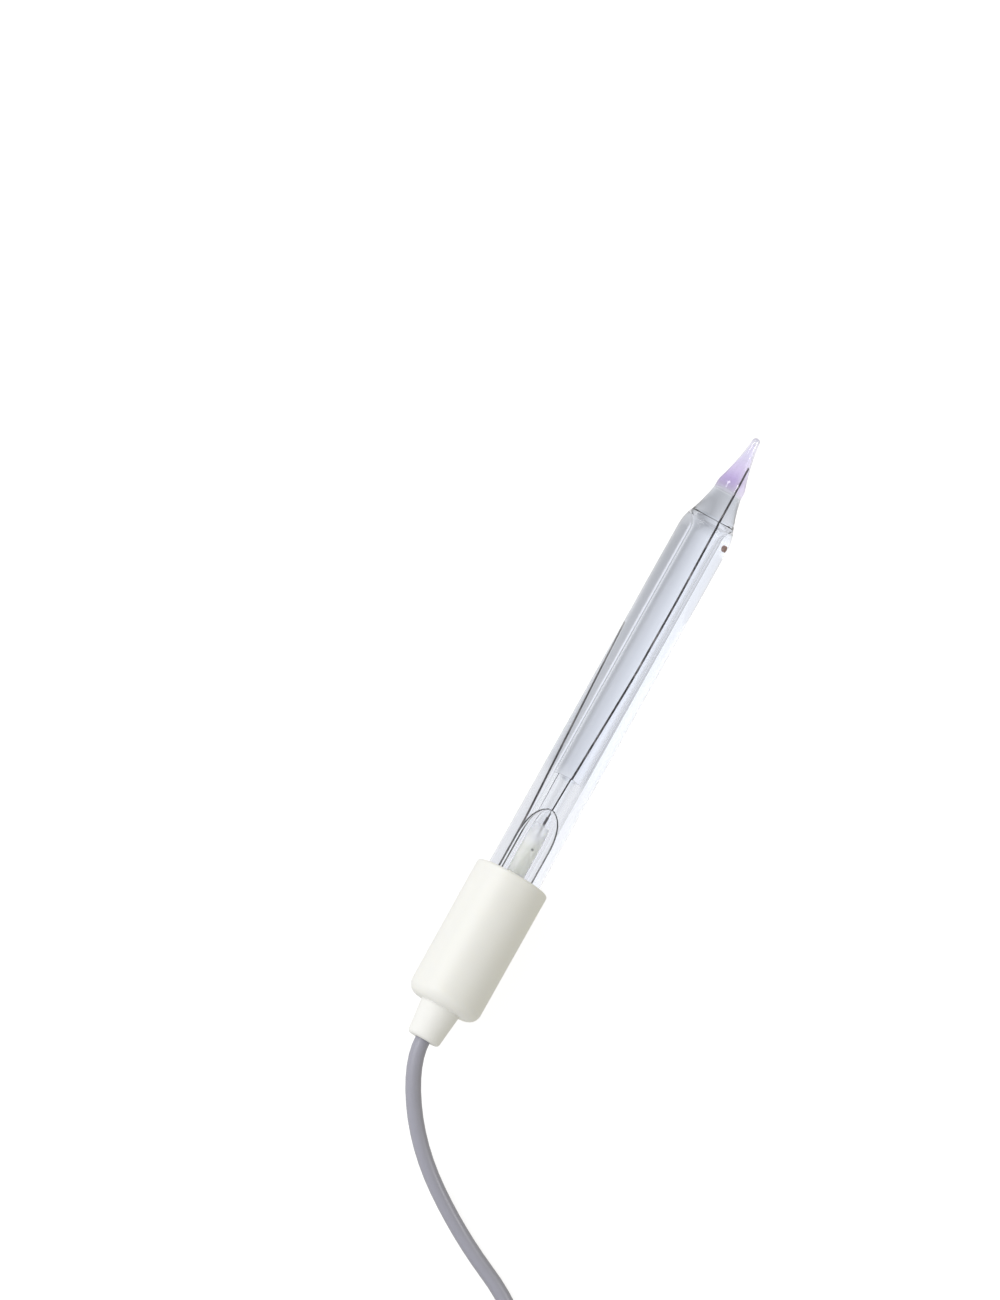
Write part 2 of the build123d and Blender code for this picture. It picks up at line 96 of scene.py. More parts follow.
def tangent_arc(start, end, heading, count=24):
    """Points on the circle that leaves start along heading and reaches end, and its heading there: the radius
    is the chord squared over twice its part across the heading, the turn twice the chord's own angle."""
    start, chord = np.array(start, float), np.subtract(end, start)
    along = np.array(heading) / np.linalg.norm(heading)
    side = np.array([-along[1], along[0]])
    radius = chord @ chord / (2 * (chord @ side))
    turn = 2 * np.arctan2(chord @ side, chord @ along)
    angle = np.linspace(0, turn, count)[:, None]
    arc = start + radius * (np.sin(angle) * along + (1 - np.cos(angle)) * side)
    return arc, np.cos(turn) * along + np.sin(turn) * side


def even_rows(outline, longest=4.0):
    """The same outline with more points: each stretch is cut into equal parts, none longer than the given
    length."""
    ends = np.asarray(outline, float)
    counts = np.ceil(np.linalg.norm(np.diff(ends, axis=0), axis=1) / longest).astype(int).clip(1)
    parts = [np.linspace(a, b, n, endpoint=False) for a, b, n in zip(ends[:-1], ends[1:], counts)]
    return np.vstack([*parts, ends[-1:]])


def finish_piece(made, material, nodes, body="electrode"):
    """Gives a piece its material, sets it on its body and hides the CAD nodes that it stands for."""
    made.data.materials.append(material)
    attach(made, body)
    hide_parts(*nodes)


def link(tree, source, output, target, socket):
    """Joins one node's output to another's input."""
    tree.links.new(source.outputs[output], target.inputs[socket])


def see_through(name, colour, index, shade, gloss=1.0):
    """A clear material that bends what is seen through it and passes the lamps' light as a plain filter. Its
    mirror share is that of its index in air times gloss. Returns it with its tree and shader."""
    material = bpy.data.materials.new(name)
    material.use_nodes = True
    tree = material.node_tree
    shader = tree.nodes["Principled BSDF"]
    shader.inputs["Base Color"].default_value = (*colour, 1)
    shader.inputs["Roughness"].default_value = 0.0
    shader.inputs["IOR"].default_value = index
    shader.inputs["Transmission Weight"].default_value = 1.0
    shader.inputs["Specular Tint"].default_value = (gloss, gloss, gloss, 1)
    path = tree.nodes.new("ShaderNodeLightPath")
    filtered = tree.nodes.new("ShaderNodeBsdfTransparent")
    filtered.inputs["Color"].default_value = (*shade, 1)
    mix = tree.nodes.new("ShaderNodeMixShader")
    link(tree, path, "Is Shadow Ray", mix, 0)
    link(tree, shader, 0, mix, 1)
    link(tree, filtered, 0, mix, 2)
    link(tree, mix, 0, tree.nodes["Material Output"], "Surface")
    return material, tree, shader


def lay_sealed(points):
    """Lays the glass and its fillings with the ring seal a little out of square, as hand-worked seals are: a
    point inside the wall moves along the axis by its depth times the lean, most at the seal, less beyond."""
    inside = np.hypot(points[..., :1], points[..., 1:2]) < bore_r + bore_margin
    near = np.clip(1 - ((points[..., 2:] - crease_at) / seal_reach) ** 2, 0, 1) ** 2
    along = points[..., 2:] + inside * near * seal_lean * points[..., 1:2]
    return lay(np.concatenate([points[..., :2], along], -1))


shaft_r, bore_r, bore_margin = 6.0, 5.0, 0.1
stem_r, stem_bore_r = 2.87, 2.2
seal_r, seal_bore_r = 5.2, 4.3
membrane_r, membrane_bore_r = 3.2, 2.7
shaft_end, stem_end = -18.0, -20.0
shoulder_at, flare_at, land_at, seal_at, membrane_at = 83.3, 85.1, 86.5, 87.5, 94.6
widen_at, crease_at = 83.6, 87.65
seal_lean, seal_reach = 0.21, 6.0
upright = (0.0, 1.0)
shoulder_out, leaning = tangent_arc((shaft_r, shoulder_at), (seal_r, seal_at), upright)
cone_out, _ = tangent_arc((seal_r, seal_at), (membrane_r, membrane_at), leaning)
cone_in, _ = tangent_arc((seal_bore_r, crease_at), (membrane_bore_r, membrane_at), leaning)
shoulder_in, _ = tangent_arc((bore_r, shoulder_at), (seal_bore_r, land_at), upright)
flare_out, _ = tangent_arc((stem_r, flare_at), (seal_bore_r, land_at), upright)
flare_in, _ = tangent_arc((stem_bore_r, widen_at), (seal_bore_r, crease_at), upright)
body_outline = np.vstack([
    [(shaft_r, shaft_end)], shoulder_out, cone_out[1:], cone_in[::-1], flare_in[::-1][1:],
    [(stem_bore_r, stem_end), (stem_r, stem_end)], flare_out, shoulder_in[::-1][1:], [(bore_r, shaft_end)],
])
body_rows = even_rows(body_outline)
glass_body = lathe("glass_body", body_rows, lay_sealed)

# Glass against a filling mirrors less than glass in air, so the wetted rows have a material of their own.
glass_index, dry_gloss, wet_gloss = 1.5, 0.15, 0.08
glass_tint, glass_shade = (0.975, 0.98, 0.985), (0.93, 0.935, 0.95)
clear_glass, _, _ = see_through("clear_glass", glass_tint, glass_index, glass_shade, dry_gloss)
wet_glass, _, _ = see_through("wet_glass", glass_tint, glass_index, glass_shade, wet_gloss)
finish_piece(glass_body, clear_glass, ["shaft_tube", "inner_stem"])
glass_body.data.materials.append(wet_glass)
filled_from = 24.0
last_outer_row = np.flatnonzero(np.all(body_rows == cone_out[-1], 1))[0]
wet_rows = (np.arange(len(body_rows)) > last_outer_row) & (body_rows[:, 1] > filled_from)
glass_body.data.polygons.foreach_set("material_index", np.repeat(wet_rows, round_steps).astype(np.int32))

# Glass membrane: a slim thin-walled cone of lilac pH glass, blown and drawn out to a small solid bead.
# Its base is fused to the clear cone, and its colour is strongest in the thick band there.
bead_r, bead_hollow_r, bead_solid, skin_wall = 0.87, 0.42, 1.7, 0.5
tip_at, band_at, flank_at, roll_depth = 108.4, 95.85, 97.1, 0.2
flank_lean = np.radians(5.5)
fused = 0.03


def bulb(end_r, end_at, wall):
    """Half outline of the membrane from its tip: a round end, a long flank arc, a roll of the wall and the
    band at its base."""
    angle = np.linspace(0, np.pi / 2 - flank_lean, 16)
    end = np.column_stack([end_r * np.sin(angle), end_at - end_r + end_r * np.cos(angle)])
    flank_r = membrane_r - roll_depth - wall
    baseward = (np.sin(flank_lean), -np.cos(flank_lean))
    flank, heading = tangent_arc(end[-1], (flank_r, flank_at), baseward, 40)
    roll, _ = tangent_arc((flank_r, flank_at), (membrane_r - wall, band_at), heading, 12)
    return np.vstack([end, flank[1:], roll[1:], [(membrane_r - wall, membrane_at - fused)]])


def own_place(tree):
    """Nodes that read a piece's own upright coordinates, in millimetres, as one vector and as its three
    parts."""
    place = tree.nodes.new("ShaderNodeAttribute")
    place.attribute_name = "place"
    parts = tree.nodes.new("ShaderNodeSeparateXYZ")
    link(tree, place, "Vector", parts, 0)
    return place, parts


def between(tree, source, output, low, high, at_low=0.0, at_high=1.0):
    """A node that takes a value from the range low to high to the range at_low to at_high in a straight line,
    and holds it at both ends."""
    node = tree.nodes.new("ShaderNodeMapRange")
    node.inputs["From Min"].default_value = low
    node.inputs["From Max"].default_value = high
    node.inputs["To Min"].default_value = at_low
    node.inputs["To Max"].default_value = at_high
    link(tree, source, output, node, "Value")
    return node


def mixed(tree, source, output, **colours):
    """A node that mixes its colours A and B by a share: none of it gives A, all of it B."""
    node = tree.nodes.new("ShaderNodeMix")
    node.data_type = "RGBA"
    for name, colour in colours.items():
        node.inputs[name].default_value = (*colour, 1)
    link(tree, source, output, node, 0)
    return node


bulb_out = bulb(bead_r, tip_at, 0.0)
bulb_in = bulb(bead_hollow_r, tip_at - bead_solid, skin_wall)
lilac_membrane = lathe("lilac_membrane", np.vstack([bulb_out, bulb_in[::-1]]), closed=False)

# The ramp's shares run from the membrane's base to its tip. Its right side is painted paler: painted light,
# as if lit more brightly there.
lilac_tint, lilac_shade = (0.8, 0.75, 0.9), (0.86, 0.82, 0.93)
base_lilac, bead_lilac, lit_side_lilac = (0.83, 0.82, 0.87), (0.68, 0.66, 0.76), (0.95, 0.94, 0.95)
lilac_stops = (
    (0.07, (0.735, 0.7, 0.805)),
    (0.125, (0.72, 0.655, 0.82)),
    (0.2, (0.755, 0.67, 0.88)),
    (0.29, (0.82, 0.75, 0.93)),
    (0.385, (0.875, 0.81, 0.965)),
    (0.69, (0.91, 0.89, 0.985)),
    (0.86, (0.93, 0.905, 0.985)),
)
lit_side_from, lit_side_to, lit_side_share = 0.2, 1.6, 0.7
lilac_glass, tree, shader = see_through("lilac_glass", lilac_tint, glass_index, lilac_shade)
_, parts = own_place(tree)
height = between(tree, parts, "Z", membrane_at, tip_at)
lilac = tree.nodes.new("ShaderNodeValToRGB")
lilac.color_ramp.elements[0].color = (*base_lilac, 1)
lilac.color_ramp.elements[1].color = (*bead_lilac, 1)
for at, colour in lilac_stops:
    lilac.color_ramp.elements.new(at).color = (*colour, 1)
link(tree, height, "Result", lilac, "Fac")
# Painted light: towards its right side the lilac is mixed with a paler colour, as if lit more brightly there.
lit_side = between(tree, parts, "X", lit_side_from, lit_side_to, at_high=lit_side_share)
side_lit = mixed(tree, lit_side, "Result", B=lit_side_lilac)
link(tree, lilac, "Color", side_lit, "A")
link(tree, side_lit, "Result", shader, "Base Color")
finish_piece(lilac_membrane, lilac_glass, ["glass_membrane"])

# Porous junction: a short pin of fired ceramic, brown from the filling, that passes through the shaft's
# wall at the shoulder and ends flush with the glass. Its rows run from the middle of its inner end over its
# side to the middle of its face: how far out each stands, and how wide it is as a share of the pin's radius.
junction_r, junction_at, junction_angle = 0.7, 83.0, np.radians(70)
pin_foot, pin_edge, pin_face, pin_proud = 4.7, 5.9, 6.0, 0.012
reach = np.array([pin_foot, pin_foot, pin_foot, pin_edge, pin_face, pin_face, pin_face])
width = np.array([0.0, 0.5, 1.0, 1.0, 0.95, 0.5, 0.0])
junction_way = np.array([np.sin(junction_angle), -np.cos(junction_angle), 0.0])
junction_side = np.array([np.cos(junction_angle), np.sin(junction_angle), 0.0])
turn = np.linspace(0, 2 * np.pi, 48, endpoint=False)
ring_in = np.stack([np.cos(turn), np.sin(turn)], -1) * junction_r
side_by = width[:, None] * ring_in[None, :, 0]
side_up = width[:, None] * ring_in[None, :, 1]
flush = reach[:, None] - (shaft_r - np.sqrt(shaft_r**2 - side_by**2)) + pin_proud
pin_grid = (
    flush[..., None] * junction_way + side_by[..., None] * junction_side
    + np.array([0.0, 0.0, 1.0]) * (junction_at + side_up)[..., None]
)


def grain_group():
    """Shared grain of moulded, cast and fired pieces: soft noise shifts the colour and the gloss, and finer
    noise gives the height of a fine texture."""
    group = bpy.data.node_groups.new("grain", "ShaderNodeTree")
    kinds = {"Color": "NodeSocketColor"}
    start_values = {"Color": (0.8, 0.8, 0.8, 1), "Spread": 0.05, "Scale": 300.0, "Roughness": 0.4}
    for name, value in start_values.items():
        kind = kinds.get(name, "NodeSocketFloat")
        group.interface.new_socket(name, in_out="INPUT", socket_type=kind).default_value = value
    for name in ("Color", "Roughness", "Height"):
        group.interface.new_socket(name, in_out="OUTPUT", socket_type=kinds.get(name, "NodeSocketFloat"))
    fine_times, noise_middle, gloss_swing = 9.0, 0.5, 0.2
    entry, leave = group.nodes.new("NodeGroupInput"), group.nodes.new("NodeGroupOutput")
    where = group.nodes.new("ShaderNodeTexCoord")
    cloud = group.nodes.new("ShaderNodeTexNoise")
    cloud.inputs["Detail"].default_value = 5.0
    fine = group.nodes.new("ShaderNodeTexNoise")
    fine.inputs["Detail"].default_value = 3.0
    finer = group.nodes.new("ShaderNodeMath")
    finer.operation = "MULTIPLY"
    finer.inputs[1].default_value = fine_times
    middle = group.nodes.new("ShaderNodeMath")
    middle.operation = "SUBTRACT"
    middle.inputs[1].default_value = noise_middle
    shift = group.nodes.new("ShaderNodeMath")
    shift.operation = "MULTIPLY_ADD"
    shift.inputs[2].default_value = 1.0
    tinted = group.nodes.new("ShaderNodeVectorMath")
    tinted.operation = "SCALE"
    gloss = group.nodes.new("ShaderNodeMath")
    gloss.operation = "MULTIPLY_ADD"
    gloss.inputs[1].default_value = gloss_swing
    for noise in (cloud, fine):
        link(group, where, "Object", noise, "Vector")
    link(group, entry, "Scale", cloud, "Scale")
    link(group, entry, "Scale", finer, 0)
    link(group, finer, 0, fine, "Scale")
    link(group, cloud, "Fac", middle, 0)
    link(group, middle, 0, shift, 0)
    link(group, entry, "Spread", shift, 1)
    link(group, entry, "Color", tinted, 0)
    link(group, shift, 0, tinted, "Scale")
    link(group, middle, 0, gloss, 0)
    link(group, entry, "Roughness", gloss, 2)
    link(group, tinted, "Vector", leave, "Color")
    link(group, gloss, 0, leave, "Roughness")
    link(group, fine, "Fac", leave, "Height")
    return group


grain = grain_group()


def grained(name, colour, roughness, spread=0.06, scale=400.0, relief=0.00001):
    """An opaque material of one colour with the shared grain in its colour, gloss and surface height.
    Returns it with its tree and its grain node, so that a piece can put its own colour into the grain."""
    material = bpy.data.materials.new(name)
    material.use_nodes = True
    tree = material.node_tree
    shader = tree.nodes["Principled BSDF"]
    texture = tree.nodes.new("ShaderNodeGroup")
    texture.node_tree = grain
    texture.inputs["Color"].default_value = (*colour, 1)
    texture.inputs["Spread"].default_value = spread
    texture.inputs["Scale"].default_value = scale
    texture.inputs["Roughness"].default_value = roughness
    bump = tree.nodes.new("ShaderNodeBump")
    bump.inputs["Distance"].default_value = relief
    link(tree, texture, "Color", shader, "Base Color")
    link(tree, texture, "Roughness", shader, "Roughness")
    link(tree, texture, "Height", bump, "Height")
    link(tree, bump, "Normal", shader, "Normal")
    return material, tree, texture


ceramic_brown = (0.36, 0.235, 0.21)
fired_ceramic, _, _ = grained("fired_ceramic", ceramic_brown, 0.85, spread=0.5, scale=2500.0, relief=0.00003)
ceramic_junction = skin("ceramic_junction", pin_grid, lay, closed=False)
finish_piece(ceramic_junction, fired_ceramic, ["junction_pin"])

# Silver wires: the inner one hangs on the stem's axis from a short weld, leans to the wall in the filling
# and ends inside the membrane. The reference one runs up beside the stem. Both are dark with silver chloride.
wire_bend = 3.5


def wire(name, heights, xs, ys, radius, columns=14, rows=420):
    """A round wire through points at given heights: its slopes change evenly over a short stretch at each
    bend, its line is their running sum, and each point of it carries a circle that narrows at both ends."""
    height = np.linspace(heights[0], heights[-1], rows)
    line = [height]
    for path in (ys, xs):
        slope = np.diff(path) / np.diff(heights)
        at = np.full(height.shape, slope[0])
        for bend, change in zip(heights[1:-1], np.diff(slope)):
            at = at + change * np.clip((height - bend + wire_bend) / (2 * wire_bend), 0, 1)
        run = np.concatenate([[0], np.cumsum((at[1:] + at[:-1]) / 2 * np.diff(height))])
        line.insert(0, path[0] + run)
    line = np.stack(line, -1)
    turn = np.linspace(0, 2 * np.pi, columns, endpoint=False)
    round_wire = np.stack([np.cos(turn), np.sin(turn), np.zeros(columns)], -1)
    from_end = np.minimum(height - height[0], height[-1] - height) / radius
    thick = radius * np.sqrt(np.clip(1 - (1 - np.clip(from_end, 0, 1)) ** 2, 0, 1))
    return skin(name, line[:, None] + thick[:, None, None] * round_wire, lay, closed=False)


dark_chloride, worn_chloride = (0.04, 0.036, 0.04), (0.16, 0.15, 0.15)
patches_a_millimetre, worn_from, worn_to = 0.13, 0.5, 0.65
dark_silver, tree, texture = grained("dark_silver", dark_chloride, 0.5, spread=0.7, scale=1500.0)
tree.nodes["Principled BSDF"].inputs["Metallic"].default_value = 0.35
_, parts = own_place(tree)
patches = tree.nodes.new("ShaderNodeTexNoise")
patches.noise_dimensions = "1D"
patches.inputs["Scale"].default_value = patches_a_millimetre
link(tree, parts, "Z", patches, "W")
worn = between(tree, patches, "Fac", worn_from, worn_to)
chloride = mixed(tree, worn, "Result", A=dark_chloride, B=worn_chloride)
link(tree, chloride, "Result", texture, "Color")

plug_top = 12.7
weld_r, weld_length, weld_edge, weld_x = 0.3, 1.9, 0.15, 0.25
inner_wire_r, inner_heights = 0.175, (-21.0, -4.0, plug_top, 48.5, 68.0, 101.6)
inner_xs, inner_ys = (0.0, weld_x, weld_x, 1.24, 1.32, 1.03), np.zeros(6)
inner_silver_wire = wire("inner_silver_wire", inner_heights, inner_xs, inner_ys, inner_wire_r)
finish_piece(inner_silver_wire, dark_silver, ["inner_wire"])
quarter = np.linspace(0, np.pi / 2, 7)
weld_low = np.column_stack([
    weld_r - weld_edge + weld_edge * np.sin(quarter), plug_top + weld_edge * (1 - np.cos(quarter)),
])
weld_high = np.column_stack([weld_low[::-1, 0], 2 * plug_top + weld_length - weld_low[::-1, 1]])
weld_outline = np.vstack([[(0, plug_top)], weld_low, weld_high, [(0, plug_top + weld_length)]])
weld = lathe(
    "inner_wire_weld", weld_outline, lambda points: lay(points + [weld_x, 0, 0]), columns=32, closed=False
)
finish_piece(weld, dark_silver, [])
reference_r, reference_heights = 0.2, (-21.5, 12.0, 59.2)
reference_xs, reference_ys = (-3.03, -3.03, -4.7), (-1.68, -1.68, -0.33)
reference_silver_wire = wire(
    "reference_silver_wire", reference_heights, reference_xs, reference_ys, reference_r
)
finish_piece(reference_silver_wire, dark_silver, ["reference_wire"])

# Stem plug: off-white resin cast into the foot of the stem round the wire's lead. Its upper end is paler and
# lets light through where the resin is thin, with an uneven edge, and one small air bubble shows as a dark
# speck. Heights are those of the wavering edge, which runs a little above the plug's own.
plug_r, plug_dome, side_rows = 2.13, 0.5, 40
cast_resin, pale_resin, speck_grey = (0.64, 0.64, 0.57), (0.74, 0.74, 0.73), (0.22, 0.22, 0.2)
waver_scale, waver_height = 0.5, 3.0
pale_from, pale_to = 8.5, 11.5
whole_at, thin_at, thin_share = 9.5, 13.5, 0.3
speck_at, speck_core, speck_rim = (0.75, -2.0, 6.7), 0.18, 0.38
resin, tree, texture = grained("resin", cast_resin, 0.55, spread=0.08, scale=700.0)
shader = tree.nodes["Principled BSDF"]
shader.inputs["Subsurface Weight"].default_value = 1.0
shader.inputs["Subsurface Radius"].default_value = (1.0, 1.0, 0.9)
shader.inputs["Subsurface Scale"].default_value = 0.002
# The resin also glows faintly in its own colour: painted light that lifts its shaded side.
shader.inputs["Emission Strength"].default_value = 0.06
link(tree, texture, "Color", shader, "Emission Color")
place, parts = own_place(tree)
waver = tree.nodes.new("ShaderNodeTexNoise")
waver.inputs["Scale"].default_value = waver_scale
link(tree, place, "Vector", waver, "Vector")
edge = tree.nodes.new("ShaderNodeMath")
edge.operation = "MULTIPLY_ADD"
edge.inputs[1].default_value = waver_height
link(tree, waver, "Fac", edge, 0)
link(tree, parts, "Z", edge, 2)
thin = between(tree, edge, 0, thin_at, whole_at, at_low=thin_share)
link(tree, thin, "Result", shader, "Alpha")
pale = between(tree, edge, 0, pale_from, pale_to)
resin_colour = mixed(tree, pale, "Result", A=cast_resin, B=pale_resin)
speck = tree.nodes.new("ShaderNodeVectorMath")
speck.operation = "DISTANCE"
speck.inputs[1].default_value = speck_at
link(tree, place, "Vector", speck, 0)
hollow = between(tree, speck, "Value", speck_core, speck_rim)
specked = mixed(tree, hollow, "Result", A=speck_grey)
link(tree, resin_colour, "Result", specked, "B")
link(tree, specked, "Result", texture, "Color")
dome, _ = tangent_arc((0, plug_top), (plug_r, plug_top - plug_dome), (1, 0), 12)
plug_side = np.column_stack([
    np.full(side_rows, plug_r), np.linspace(plug_top - plug_dome, stem_end, side_rows),
])
plug_outline = np.vstack([dome, plug_side[1:], [(0, stem_end)]])
cast_plug = lathe("cast_plug", plug_outline, columns=round_steps // 2, closed=False)
finish_piece(cast_plug, resin, ["stem_plug"])

# Inner buffer: the clear liquid that fills the stem's upper part, the cone and the membrane. It ends below
# in a dished surface over trapped air. Its walls lap into the glass by a hair, so no air film shows between,
# and the mirror share at that wall is the glass's alone.
lap = 0.03
dish_edge, dish_middle = 23.5, 23.9
dish, _ = tangent_arc((0, dish_middle), (stem_bore_r + lap, dish_edge), (1, 0))
outward = np.array([lap, 0.0])
bulb_room = bulb_in[::-1][1:] + outward
bulb_room[-1] = (0, tip_at - bead_solid + lap)
buffer_outline = np.vstack([dish, flare_in + outward, cone_in[1:] + outward, bulb_room])
liquid_index, liquid_gloss = 1.34, 0.0
liquid_tint, liquid_shade = (0.985, 0.985, 0.99), (0.97, 0.97, 0.98)
clear_liquid, _, _ = see_through("clear_liquid", liquid_tint, liquid_index, liquid_shade, liquid_gloss)
buffer_filling = lathe("buffer_filling", even_rows(buffer_outline), lay_sealed, closed=False)
finish_piece(buffer_filling, clear_liquid, ["inner_buffer"])

# Reference electrolyte: the clear salt solution between stem and shaft, up to the seal. As the electrode
# lies, a long air bubble lies along its upper side at the cap's end, with a round nose.
seal_top = -13.0
electrolyte_outline = np.vstack([
    [(stem_r - lap, seal_top + lap)], flare_out[:-1] - outward, [(seal_bore_r, land_at + lap)],
    shoulder_in[::-1][1:] + outward, [(bore_r + lap, seal_top + lap)],
])
electrolyte_filling = lathe("electrolyte_filling", even_rows(electrolyte_outline), lay_sealed)

# The bubble's section is a bent slot with round ends between the two walls, less a film of liquid. It keeps
# its width up to the nose, where its width falls as a cosine and its thickness last of all.
bubble_nose, bubble_round, bubble_half, bubble_film = 15.7, 7.8, 4.1, 0.06
bubble_above_seal, bubble_turn, nose_thin = 0.3, np.radians(5), 0.3
straight_rows, nose_rows, end_columns, flat_columns = 24, 48, 17, 24
bubble_from, round_at = seal_top + bubble_above_seal, bubble_nose - bubble_round
middle_r, half_gap = (bore_r + stem_r) / 2, (bore_r - stem_r) / 2 - bubble_film
nose_turn = np.linspace(0, np.pi / 2, nose_rows)[:-1]
straight = np.linspace(bubble_from, round_at, straight_rows)[:-1]
bubble_z = np.concatenate([straight, round_at + bubble_round * np.sin(nose_turn)])
fullness = np.concatenate([np.ones(straight_rows - 1), np.cos(nose_turn)])[:, None]
half_thick = half_gap * np.sqrt(1 - (1 - np.clip(fullness / nose_thin, 0, 1)) ** 2)
half_arc = np.clip(middle_r * np.arcsin(bubble_half / bore_r) * fullness - half_thick, 0, None)
end_turn = np.linspace(-np.pi / 2, np.pi / 2, end_columns)
flat_run = np.linspace(1, -1, flat_columns + 2)[1:-1]
end_on, flat_on, flat_off = np.ones(end_columns), np.ones(flat_columns), np.zeros(flat_columns)
along = np.hstack([end_on, flat_run, -end_on, -flat_run])
out = np.hstack([np.cos(end_turn), flat_off, -np.cos(end_turn), flat_off])
up = np.hstack([np.sin(end_turn), flat_on, -np.sin(end_turn), -flat_on])
arc_angle = bubble_turn + (half_arc * along + half_thick * out) / middle_r
arc_r = middle_r + half_thick * up
bubble_grid = np.stack(
    np.broadcast_arrays(arc_r * np.sin(arc_angle), -arc_r * np.cos(arc_angle), bubble_z[:, None]), -1
)
bubble_x, bubble_y = middle_r * np.sin(bubble_turn), -middle_r * np.cos(bubble_turn)
first = np.broadcast_to([[[bubble_x, bubble_y, bubble_from]]], bubble_grid[:1].shape)
last = np.broadcast_to([[[bubble_x, bubble_y, bubble_nose]]], bubble_grid[:1].shape)
bubble = skin("bubble", np.concatenate([first, bubble_grid, last]), lay, closed=False)
bubble.data.flip_normals()
shape = bmesh.new()
shape.from_mesh(electrolyte_filling.data)
shape.from_mesh(bubble.data)
shape.to_mesh(electrolyte_filling.data)
shape.free()
bpy.data.objects.remove(bubble)
finish_piece(electrolyte_filling, clear_liquid, ["reference_electrolyte"])

# Annulus seal: a soft white ring that closes the space between stem and shaft inside the cap. The filling
# stands on it, and the reference wire passes through.
seal_white = (0.82, 0.82, 0.78)


def dress(node, material):
    """Puts a material on every slot of a CAD node that stays as it is."""
    for slot in frame["nodes"][node].material_slots:
        slot.material = material


white_rubber, _, _ = grained("white_rubber", seal_white, 0.7, scale=900.0)
dress("annulus_seal", white_rubber)

# Cap: a satin ivory moulding, bored for the glass and cemented to it, with a rounded foot. Its chamber holds
# the soldered leads.
cap_length, cap_mouth_r, cap_foot_r = 31.0, 8.25, 8.1
cap_bore_r, chamber_r, hole_r = 6.05, 5.2, 2.95
mouth_edge, foot_edge, end_wall = 0.7, 2.6, 3.6
chamber_floor = -cap_length + end_wall
round_edge = np.linspace(0, np.pi / 2, 20)
mouth_round = np.column_stack([
    cap_mouth_r - mouth_edge * (1 - np.sin(round_edge)), -mouth_edge * (1 - np.cos(round_edge)),
])
foot_round = np.column_stack([
    cap_foot_r - foot_edge * (1 - np.cos(round_edge)), -cap_length + foot_edge * (1 - np.sin(round_edge)),
])
cap_inside = [
    (hole_r, -cap_length), (hole_r, chamber_floor), (chamber_r, chamber_floor), (chamber_r, shaft_end),
    (cap_bore_r, shaft_end),
]
cap_outline = np.vstack([[(cap_bore_r, 0)], mouth_round, foot_round, cap_inside])
cap_ivory = (0.865, 0.865, 0.825)
ivory_plastic, tree, _ = grained("ivory_plastic", cap_ivory, 0.38, spread=0.02, scale=260.0, relief=0.000004)
shader = tree.nodes["Principled BSDF"]
shader.inputs["Subsurface Weight"].default_value = 0.25
shader.inputs["Subsurface Radius"].default_value = (1.0, 0.95, 0.8)
shader.inputs["Subsurface Scale"].default_value = 0.0012
ivory_cap = lathe("ivory_cap", cap_outline)
finish_piece(ivory_cap, ivory_plastic, ["cap"])

# Strain relief: a short tapered bush of matt ivory rubber, pulled through the cap's end and held by its
# flange inside. The cable runs through it. Its end is rounded from where the taper is a little wider.
nose_root_r, nose_end_r, nose_length, nose_edge, nose_wider = 4.4, 3.6, 7.5, 0.8, 0.06
cable_r, shank_r, flange_r, flange_thickness, fit = 1.65, 2.9, 4.6, 1.2, 0.05
nose_end, flange_top = -cap_length - nose_length, chamber_floor + flange_thickness
nose_round = np.column_stack([
    nose_end_r + nose_wider - nose_edge * (1 - np.cos(round_edge)),
    nose_end + nose_edge * (1 - np.sin(round_edge)),
])
relief_inside = [
    (cable_r + fit, nose_end), (cable_r + fit, flange_top), (flange_r, flange_top), (flange_r, chamber_floor),
    (shank_r, chamber_floor), (shank_r, -cap_length),
]
relief_outline = np.vstack([[(nose_root_r, -cap_length)], nose_round, relief_inside])
relief_ivory = (0.87, 0.87, 0.84)
ivory_rubber, _, _ = grained("ivory_rubber", relief_ivory, 0.6, spread=0.04, scale=500.0, relief=0.000008)
ivory_relief = lathe("ivory_relief", relief_outline)
finish_piece(ivory_relief, ivory_rubber, ["strain_relief"])

# Leads inside the cap: the cable's white core and twisted copper shield, each joined to its silver wire in
# a small soldered sleeve.
core_colour, solder_grey, copper_red = (0.84, 0.84, 0.82), (0.6, 0.6, 0.62), (0.72, 0.42, 0.3)


def turned_group():
    """Shared finish of turned and plated metal: noise along one axis gives fine turning lines in the gloss
    and in the height."""
    group = bpy.data.node_groups.new("turned", "ShaderNodeTree")
    for name, value in (("Scale", 9000.0), ("Roughness", 0.25)):
        group.interface.new_socket(name, in_out="INPUT", socket_type="NodeSocketFloat").default_value = value
    for name in ("Roughness", "Height"):
        group.interface.new_socket(name, in_out="OUTPUT", socket_type="NodeSocketFloat")
    gloss_swing = 0.16
    entry, leave = group.nodes.new("NodeGroupInput"), group.nodes.new("NodeGroupOutput")
    where = group.nodes.new("ShaderNodeTexCoord")
    parts = group.nodes.new("ShaderNodeSeparateXYZ")
    lines = group.nodes.new("ShaderNodeTexNoise")
    lines.noise_dimensions = "1D"
    gloss = group.nodes.new("ShaderNodeMath")
    gloss.operation = "MULTIPLY_ADD"
    gloss.inputs[1].default_value = gloss_swing
    link(group, where, "Object", parts, 0)
    link(group, parts, "X", lines, "W")
    link(group, entry, "Scale", lines, "Scale")
    link(group, lines, "Fac", gloss, 0)
    link(group, entry, "Roughness", gloss, 2)
    link(group, gloss, 0, leave, "Roughness")
    link(group, lines, "Fac", leave, "Height")
    return group


turned = turned_group()


